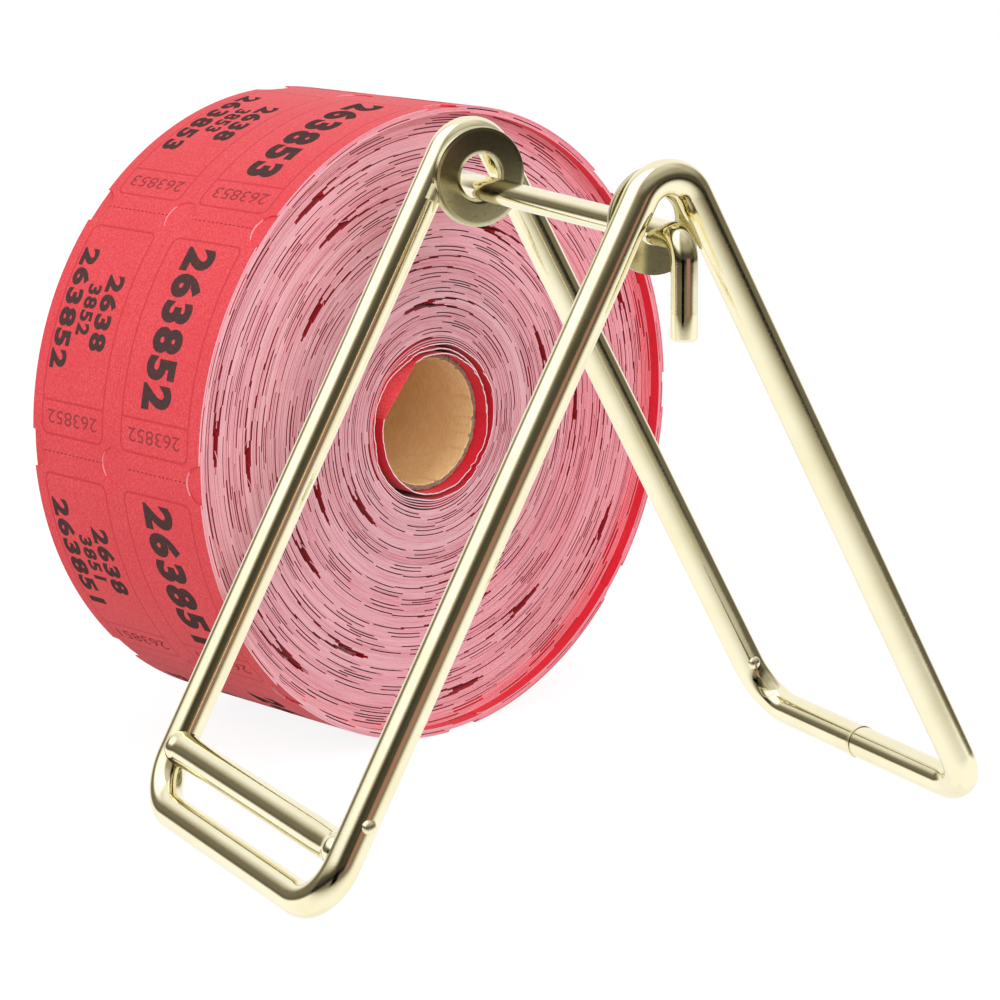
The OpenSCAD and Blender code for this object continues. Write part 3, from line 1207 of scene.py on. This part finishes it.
        # Digits, height, width, weight, middle along and middle across
        lines = ((whole, 8.9, 32.6, 0.055, 22.2, 13.4),
                 (head, 5.1, 15.4, 0.05, 22.0, 33.8),
                 (tail, 3.9, 10.4, 0.04, 22.0, 39.2),
                 (whole, 5.1, 24.8, 0.05, 22.0, 44.6))
        for i in range(first, last):
            start = i * self.ticket
            serial = f"{263852 - i:06d}"
            for part, height, stretch, weight, along, across in lines:
                big.append(self.numeral(serial[part], height, stretch, weight,
                                        (start + along, across), False))
            for across in (13.3, 38.4):
                small.append(self.numeral(serial, 2.7, 15.4, 0.0,
                                          (start + 43.8, across), True))
        bold = self.wrap_numbers(big, "ticket_numbers")
        faint = self.wrap_numbers(small, "serial_numbers")
        ink = InkFinish("serial_ink", ink=(0.34, 0.062, 0.066),
                        paper=(0.74, 0.056, 0.068), cover=0.95).build()
        return [dress(bold, Body.ROLL, [InkFinish("number_ink").build()]),
                dress(faint, Body.ROLL, [ink])]

    # The core and the loose turns round it
    def core(self) -> bpy.types.Object:
        """Turns the cardboard core, with a fuzzy sawn edge."""
        inner, outer, front = self.core_in, self.core_out, self.core_face
        back = front - self.strip_w
        soft, middle, rounding = 0.2, 0.6, 0.25
        profile = np.array([
            (inner, back), (inner, -30.0), (inner, -12.0), (inner, front - rounding),
            (inner + soft, front), (inner + middle, front), (outer - soft, front),
            (outer, front - rounding), (outer, back), (inner + middle, back),
            (inner, back)])
        columns = 144
        fuzz = self.draws.normal(0.0, 1.0, (len(profile), columns + 1))
        fuzz[:, -1] = fuzz[:, 0]
        fuzz[-1] = fuzz[0]
        rough = np.array([0, 0, 0, 0.05, 0.12, 0.14, 0.12, 0.05, 0, 0, 0])

        def place(share: Points, row: Points) -> Points:
            shake = fuzz[row, np.round(share * columns).astype(int)] * rough[row]
            radius = profile[row, 0] + shake * 0.3
            depth = profile[row, 1] + np.minimum(shake, 0.1)
            return self.on_roll(radius, share * FULL_TURN, depth)
        obj = laid_grid("board_core", columns, len(profile), place)
        clean_mesh(obj)
        self.paint_walls(obj)
        write_indices(obj, 1 - read_indices(obj))
        smooth(obj, 40.0)
        board = KraftFinish("kraft_board", self.place).build()
        sawn = RawEdgeFinish("sawn_board", (0.42, 0.30, 0.22),
                             (0.20, 0.13, 0.09)).build()
        return dress(obj, Body.ROLL, [board, sawn], ["roll_core"])

    def loose_radius(self, turn: Points) -> Points:
        """Gives the radius of the crumpled first turns, which hug the core, then leave.

        Args:
            turn: how many turns the paper has made since its start.

        Returns:
            The radius of the paper's inside.
        """
        angle = turn * FULL_TURN
        spacing = 0.24 + 0.27 * np.sin(angle) ** 2
        hugging = self.core_out + 0.06 + 0.30 * turn
        wound = self.pack_in - 0.3 - (self.loose_count - turn) * spacing
        leave = np.clip((turn - 0.75 - 0.25 * np.cos(angle)) / 0.8, 0.0, 1.0)
        share = leave ** 2 * (3 - 2 * leave)
        crumple = 0.10 * np.sin(5 * angle + 1.0) + 0.06 * np.sin(11 * angle)
        rest = np.clip((self.loose_count - turn) / self.loose_count, 0.0, 1.0)
        return hugging * (1 - share) + wound * share + crumple * share * rest * 2

    def loose_turns(self) -> bpy.types.Object:
        """Winds the crumpled first turns, with a torn front edge and a folded flap."""
        steps, thick, torn_turns = 120, 0.22, 2.35
        total = round(self.loose_count * steps)
        tear = np.convolve(self.draws.normal(0.0, 0.5, total + 9), np.ones(4) / 4,
                           "same")[4:-4]
        nicks = self.draws.uniform(0.0, 1.0, total + 1) > 0.93
        front, fold, back = 0, 1, 2
        rows = np.array([(0, front), (1, front), (1, fold), (1, back), (0, back),
                         (0, fold), (0, front)])
        front_face, back_face = 0, 3

        def on_flap(turn: Points) -> Points:
            return np.abs(turn * 360.0 - self.flap_middle) < self.flap_half

        def place(share: Points, row: Points) -> Points:
            step = np.round(share * total).astype(int)
            turn = share * self.loose_count
            level = rows[row, 1]
            flap = on_flap(turn)
            r = self.loose_radius(turn)
            away = np.radians(np.minimum(np.abs(turn * 360.0 - self.flap_middle),
                                         self.flap_half))
            chord = self.flap_chord / np.cos(away)
            r = np.where(flap & (level == front), np.minimum(r, chord), r)
            r = r + rows[row, 0] * thick
            lift = np.interp(turn, [0.0, 1.0, torn_turns, self.loose_count],
                             [0.9, 0.6, 0.05, 0.0])
            ragged = np.interp(turn, [0.0, 2.0, torn_turns + 0.3, self.loose_count],
                               [0.80, 0.60, 0.14, 0.08])
            nicked = nicks[step] & (turn < torn_turns)
            lift = lift + tear[step] * ragged - 0.35 * nicked
            lift = np.where(flap, 0.4, np.minimum(lift, 1.1))
            depth = np.choose(level, [
                self.face + lift, np.full(len(turn), self.core_face + 0.25),
                np.full(len(turn), self.face - self.strip_w + 0.8)])
            return self.on_roll(r, turn * FULL_TURN, depth)

        def paint(share: Points, row: Points) -> Points:
            turn = share * self.loose_count
            torn_edge, wall, folded, edge = 0, 1, 2, 3
            rim = np.where(turn < torn_turns, torn_edge, edge)
            plain = np.where(row == front_face, rim,
                             np.where(row == back_face, edge, wall))
            in_front = (row < back_face - 1) | (row > back_face + 1)
            return np.where(on_flap(turn) & in_front, folded, plain)
        obj = laid_grid("loose_turns", total, len(rows), place, paint)
        close_ends(obj)
        torn = RawEdgeFinish("torn_paper", (0.94, 0.80, 0.82),
                             (0.86, 0.50, 0.55)).build()
        # The walls of the loose turns take the deeper red of painted bounce light.
        return dress(obj, Body.ROLL, [torn, self.plain, self.bare, self.edges],
                     ["inner_turns"])


# The studio
@dataclass
class Studio:
    """Camera, lights, floor and the surroundings that the plating reflects."""

    lens: float = 125.054
    eye: tuple[float, float, float] = (-0.30593, -0.54340, 0.204593)
    right: tuple[float, float, float] = (0.8798242, -0.4752609, -0.0060447)
    down: tuple[float, float, float] = (-0.1122966, -0.1954972, -0.9742537)
    ahead: tuple[float, float, float] = (0.461843, 0.8578508, -0.2253734)
    plain_light: float = 0.56
    floor_glow: float = 0.89
    floor_matt: float = 0.20
    floor_bounce: float = 0.72
    bench: Colour = (0.37, 0.205, 0.165)

    def build(self, stand: WireStand) -> None:
        """Sets up the whole studio.

        Args:
            stand: the stand, whose middle the camera was measured from.
        """
        self.target = stand.middle + Vector((0.0, 0.01, 0.06))
        self.back = Vector((-self.ahead[0], -self.ahead[1], 0.0)).normalized()
        self.side = Vector((self.right[0], self.right[1], 0.0)).normalized()
        self.camera(stand.middle)
        self.world()
        self.lamps()
        self.floor()
        bpy.context.scene.view_settings.view_transform = "Standard"

    def camera(self, middle: Vector) -> None:
        """Puts the camera where the photograph was taken from."""
        data = bpy.data.cameras.new("photo_camera")
        data.lens, data.sensor_width = self.lens, 36.0
        data.clip_start, data.clip_end = 0.01, 50.0
        obj = bpy.data.objects.new("photo_camera", data)
        bpy.context.scene.collection.objects.link(obj)
        turn = Matrix((self.right, [-v for v in self.down], [-v for v in self.ahead]))
        obj.matrix_world = Matrix.Translation(Vector(self.eye) + middle) @ \
            turn.transposed().to_4x4()
        bpy.context.scene.camera = obj

    def world(self) -> None:
        """Makes the world white to see, plain light for surfaces and a room for gloss."""
        g = Graph("studio", world=True)
        bpy.context.scene.world = g.material
        path = g.node("ShaderNodeLightPath")
        seen = g.math("MAXIMUM", path.outputs["Is Camera Ray"],
                      path.outputs["Is Transmission Ray"])
        plain = (self.plain_light,) * 3
        colour = g.mix(path.outputs["Is Glossy Ray"], plain, self.room(g))
        colour = g.mix(seen, colour, (1.0, 1.0, 1.0))
        light = g.node("ShaderNodeBackground", {"Color": colour})
        g.node("ShaderNodeOutputWorld", {"Surface": light.outputs[0]})

    def room(self, g: Graph):
        """Builds what the plating reflects, as a colour for each direction.

        Args:
            g: the world's graph.

        Returns:
            The output with the colour.
        """
        way = g.node("ShaderNodeTexCoord").outputs["Generated"]
        up = g.dot(way, (0.0, 0.0, 1.0))
        front = g.dot(way, self.back)
        azimuth = g.math("DEGREES", g.math("ARCTAN2", g.dot(way, self.side), front))
        over_horizon = g.ramp(up, -0.02, 0.10)
        above = g.math("MULTIPLY", self.roof_and_box(g, up, azimuth), over_horizon)
        level = g.math("ADD", self.table_top(g, up, front, azimuth), above)
        behind = g.ramp(g.math("ABSOLUTE", azimuth), 126.0, 150.0)
        level = g.node("ShaderNodeMix", {
            "Factor": behind, 2: level, 3: 1.0}, data_type="FLOAT").outputs[0]
        tint = g.mix(g.ramp(level, 0.1, 1.0), (1.0, 0.90, 0.68), (1.0, 1.0, 1.0))
        grey = g.node("ShaderNodeCombineXYZ", {"X": level, "Y": level, "Z": level})
        room = g.node("ShaderNodeVectorMath", {0: tint, 1: grey.outputs[0]},
                      operation="MULTIPLY").outputs[0]
        bench = g.math("MULTIPLY", g.window(azimuth, (10.0, 24.0), (40.0, 54.0)),
                       g.window(up, (-0.26, -0.14), (0.04, 0.12)))
        return g.mix(bench, room, self.bench)

    def table_top(self, g: Graph, up: object, front: object, azimuth: object):
        """Gives the level of the pale table, with the dark watcher's mirror image on it.

        Args:
            g: the world's graph.
            up: how far the direction rises.
            front: how far it goes towards the camera.
            azimuth: degrees to the camera's right.

        Returns:
            The output with the level.
        """
        sink = g.math("MAXIMUM", g.math("MULTIPLY", up, -1.0), 0.02)
        table = g.ramp(g.math("DIVIDE", front, sink), 0.3, 3.0, (1.08, 0.20))
        table = g.math("MULTIPLY", table, g.ramp(up, -0.20, -0.07, (1.0, 0.12)))
        watcher = g.math("MULTIPLY", g.window(azimuth, (-28.0, -20.0), (-6.0, 2.0)),
                         g.ramp(up, -0.44, -0.30))
        return g.math("MULTIPLY", table, g.math("SUBTRACT", 1.0, watcher))

    def roof_and_box(self, g: Graph, up: object, azimuth: object):
        """Gives the level of the dim roof and of the bright box on the left.

        Args:
            g: the world's graph.
            up: how far the direction rises.
            azimuth: degrees to the camera's right.

        Returns:
            The output with the level.
        """
        roof = g.math("ADD", g.ramp(up, 0.26, 0.62, (0.0, 0.30)),
                      g.ramp(up, 0.68, 0.96, (0.05, 0.34)))
        left = g.window(azimuth, (-150.0, -100.0), (-50.0, -20.0))
        lower_edge = g.ramp(azimuth, -132.0, -104.0, (0.40, 0.27))
        over_edge = g.math("SUBTRACT", up, lower_edge)
        box = g.math("MULTIPLY", left, g.ramp(over_edge, -0.14, 0.16, (0.0, 1.08)))
        return g.math("ADD", roof, box)

    def around(self, azimuth: float, elevation: float, distance: float) -> Vector:
        """Gives a point round the object, with azimuth counted from the camera.

        Args:
            azimuth: degrees to the camera's right, as seen from the object.
            elevation: degrees above the floor.
            distance: metres from the object.

        Returns:
            The point.
        """
        a, e = math.radians(azimuth), math.radians(elevation)
        flat = self.back * math.cos(a) + self.side * math.sin(a)
        away = flat * math.cos(e) + Vector((0, 0, math.sin(e)))
        return self.target + away * distance

    def lamps(self) -> None:
        """Adds a wide soft box in front and smaller ones on both sides and above."""
        boxes = (("front_box", 8.0, 24.0, 1.4, 1.3, 1.0, 7.5),
                 ("left_box", -60.0, 28.0, 1.2, 1.0, 1.0, 2.4),
                 ("right_box", 50.0, 34.0, 1.3, 0.7, 0.9, 4.8),
                 ("top_box", 10.0, 76.0, 1.2, 0.8, 0.8, 1.8))
        for name, azimuth, elevation, distance, width, height, power in boxes:
            data = bpy.data.lights.new(name, "AREA")
            data.shape, data.size, data.size_y = "RECTANGLE", width, height
            data.energy = power
            obj = bpy.data.objects.new(name, data)
            bpy.context.scene.collection.objects.link(obj)
            obj.location = self.around(azimuth, elevation, distance)
            away = obj.location - self.target
            obj.rotation_euler = away.to_track_quat("Z", "Y").to_euler()
            obj.visible_glossy = False

    def floor(self) -> None:
        """Adds the pale floor, which keeps a trace of the object's shadow."""
        bpy.ops.object.select_all(action="DESELECT")
        bpy.ops.mesh.primitive_plane_add(size=30.0, location=(0, 0, -0.00005))
        obj = bpy.context.object
        obj.name = "floor"
        obj.visible_glossy = False
        g = Graph("floor_white")
        camera = g.node("ShaderNodeLightPath").outputs["Is Camera Ray"]
        matt = g.mix(camera, (self.floor_bounce,) * 3, (self.floor_matt,) * 3)
        glow = g.math("MULTIPLY", camera, self.floor_glow)
        shade = g.node("ShaderNodeBsdfDiffuse", {"Color": matt})
        light = g.node("ShaderNodeEmission", {"Strength": glow})
        both = g.node("ShaderNodeAddShader", {0: shade.outputs[0], 1: light.outputs[0]})
        g.node("ShaderNodeOutputMaterial", {"Surface": both.outputs[0]})
        obj.data.materials.append(g.material)


def main() -> None:
    """Builds the stand, the rod, the roll and the studio in order."""
    logging.basicConfig(level=logging.INFO, format="%(message)s")
    stand = WireStand()
    stand.build()
    AxleRod().build(stand)
    TicketRoll().build()
    Studio().build(stand)


if __name__ == "__main__":
    main()
